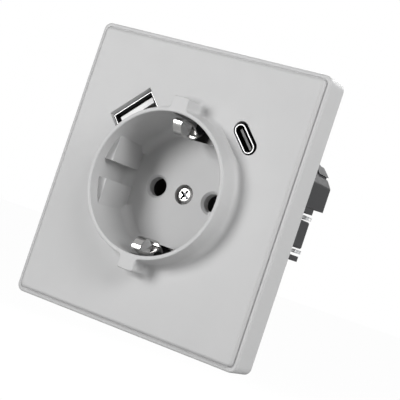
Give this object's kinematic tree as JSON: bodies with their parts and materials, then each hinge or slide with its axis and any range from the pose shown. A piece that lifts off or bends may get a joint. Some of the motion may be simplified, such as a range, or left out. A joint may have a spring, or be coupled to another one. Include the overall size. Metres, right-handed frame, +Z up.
{
  "type": "usb wall socket",
  "caption": "Flush earthed wall socket with a round collared well, side earth clips, a type A and a type C charging port, a square cover in a thin frame and spreading claws behind.",
  "frame": {"origin": "centre of the carrier ring's back face, in the plane of the wall and on the axis of the well", "axes": "+X to the right seen from the room, +Z up, +Y into the wall; the well opens towards -Y"},
  "size_m": [0.0762, 0.0597, 0.0832],
  "materials": {
    "cover_plastic": "fine matt grain",
    "base_plastic": "moulded, satin",
    "zinc_steel": "zinc plated",
    "chrome_steel": "bright nickel plated",
    "tin_steel": "tin plated",
    "spring_metal": "bright nickel plated",
    "brass": "stamped",
    "board": "lacquered circuit board",
    "ferrite": "sintered",
    "tape": "wound tape",
    "can": "sleeved",
    "chip": "moulded",
    "port_shell": "nickel plated",
    "port_white": "moulded",
    "port_black": "moulded"
  },
  "bodies": {
    "socket_body": {"front_panel": "cover_plastic", "surround_frame": "cover_plastic", "support_ring": "zinc_steel", "ring_rivets": "zinc_steel", "socket_base": "base_plastic", "cover_screw": "chrome_steel", "earth_strap": "tin_steel", "live_contact": "brass", "neutral_contact": "brass", "charger_housing": "base_plastic", "charger_lid": "base_plastic", "charger_board": "board", "transformer_core": "ferrite", "transformer_coil": "tape", "charger_capacitors": "can", "charger_chip": "chip", "housing_screws": "zinc_steel", "usb_a_shell": "port_shell", "usb_a_tongue": "port_white", "usb_c_shell": "port_shell", "usb_c_tongue": "port_black"},
    "clip_upper": {"earth_clip_upper": "spring_metal"},
    "clip_lower": {"earth_clip_lower": "spring_metal"},
    "screw_live": {"terminal_screw_live": "zinc_steel"},
    "clamp_live": {"terminal_clamp_live": "zinc_steel"},
    "screw_earth": {"terminal_screw_earth": "zinc_steel"},
    "clamp_earth": {"terminal_clamp_earth": "zinc_steel"},
    "screw_neutral": {"terminal_screw_neutral": "zinc_steel"},
    "clamp_neutral": {"terminal_clamp_neutral": "zinc_steel"},
    "claw_left": {"claw_left": "zinc_steel"},
    "nut_left": {"claw_nut_left": "base_plastic"},
    "clawscrew_left": {"claw_screw_left": "zinc_steel"},
    "claw_right": {"claw_right": "zinc_steel"},
    "nut_right": {"claw_nut_right": "base_plastic"},
    "clawscrew_right": {"claw_screw_right": "zinc_steel"}
  },
  "joints": [
    {"name": "earth_clip_upper_spring", "type": "hinge", "parent": "socket_body", "child": "clip_upper", "pos_m": [0, 0.0071, 0.0185], "axis": [-1, 0, 0], "range_deg": [0, 4], "stiffness_Nm_per_rad": 0.3},
    {"name": "earth_clip_lower_spring", "type": "hinge", "parent": "socket_body", "child": "clip_lower", "pos_m": [0, 0.0071, -0.0185], "axis": [1, 0, 0], "range_deg": [0, 4], "stiffness_Nm_per_rad": 0.3},
    {"name": "terminal_screw_live_turn", "type": "hinge", "parent": "socket_body", "child": "screw_live", "pos_m": [-0.0125, 0.014, -0.015], "axis": [0, 0, 1], "range_deg": [0, 2160]},
    {"name": "terminal_clamp_live_close", "type": "slide", "parent": "socket_body", "child": "clamp_live", "axis": [0, 0, -1], "range_m": [0, 0.003]},
    {"name": "terminal_screw_earth_turn", "type": "hinge", "parent": "socket_body", "child": "screw_earth", "pos_m": [0, 0.014, -0.015], "axis": [0, 0, 1], "range_deg": [0, 2160]},
    {"name": "terminal_clamp_earth_close", "type": "slide", "parent": "socket_body", "child": "clamp_earth", "axis": [0, 0, -1], "range_m": [0, 0.003]},
    {"name": "terminal_screw_neutral_turn", "type": "hinge", "parent": "socket_body", "child": "screw_neutral", "pos_m": [0.0125, 0.014, -0.015], "axis": [0, 0, 1], "range_deg": [0, 2160]},
    {"name": "terminal_clamp_neutral_close", "type": "slide", "parent": "socket_body", "child": "clamp_neutral", "axis": [0, 0, -1], "range_m": [0, 0.003]},
    {"name": "claw_screw_left_turn", "type": "hinge", "parent": "socket_body", "child": "clawscrew_left", "pos_m": [-0.0252, 0, 0], "axis": [0, 1, 0], "range_deg": [0, 2160]},
    {"name": "claw_nut_left_travel", "type": "slide", "parent": "socket_body", "child": "nut_left", "axis": [0, -1, 0], "range_m": [0, 0.0042]},
    {"name": "claw_left_spread", "type": "hinge", "parent": "socket_body", "child": "claw_left", "pos_m": [-0.0252, 0.002, 0], "axis": [0, 0, 1], "range_deg": [0, 18]},
    {"name": "claw_screw_right_turn", "type": "hinge", "parent": "socket_body", "child": "clawscrew_right", "pos_m": [0.0252, 0, 0], "axis": [0, 1, 0], "range_deg": [0, 2160]},
    {"name": "claw_nut_right_travel", "type": "slide", "parent": "socket_body", "child": "nut_right", "axis": [0, -1, 0], "range_m": [0, 0.0042]},
    {"name": "claw_right_spread", "type": "hinge", "parent": "socket_body", "child": "claw_right", "pos_m": [0.0252, 0.002, 0], "axis": [0, 0, -1], "range_deg": [0, 18]}
  ],
  "couplings": [
    {"joint": "terminal_screw_live_turn", "follows": "terminal_clamp_live_close", "rad_per_m": 12566},
    {"joint": "terminal_screw_earth_turn", "follows": "terminal_clamp_earth_close", "rad_per_m": 12566},
    {"joint": "terminal_screw_neutral_turn", "follows": "terminal_clamp_neutral_close", "rad_per_m": 12566},
    {"joint": "claw_screw_left_turn", "follows": "claw_nut_left_travel", "rad_per_m": 8975},
    {"joint": "claw_left_spread", "follows": "claw_nut_left_travel", "rad_per_m": 74.7},
    {"joint": "claw_screw_right_turn", "follows": "claw_nut_right_travel", "rad_per_m": 8975},
    {"joint": "claw_right_spread", "follows": "claw_nut_right_travel", "rad_per_m": 74.7}
  ]
}
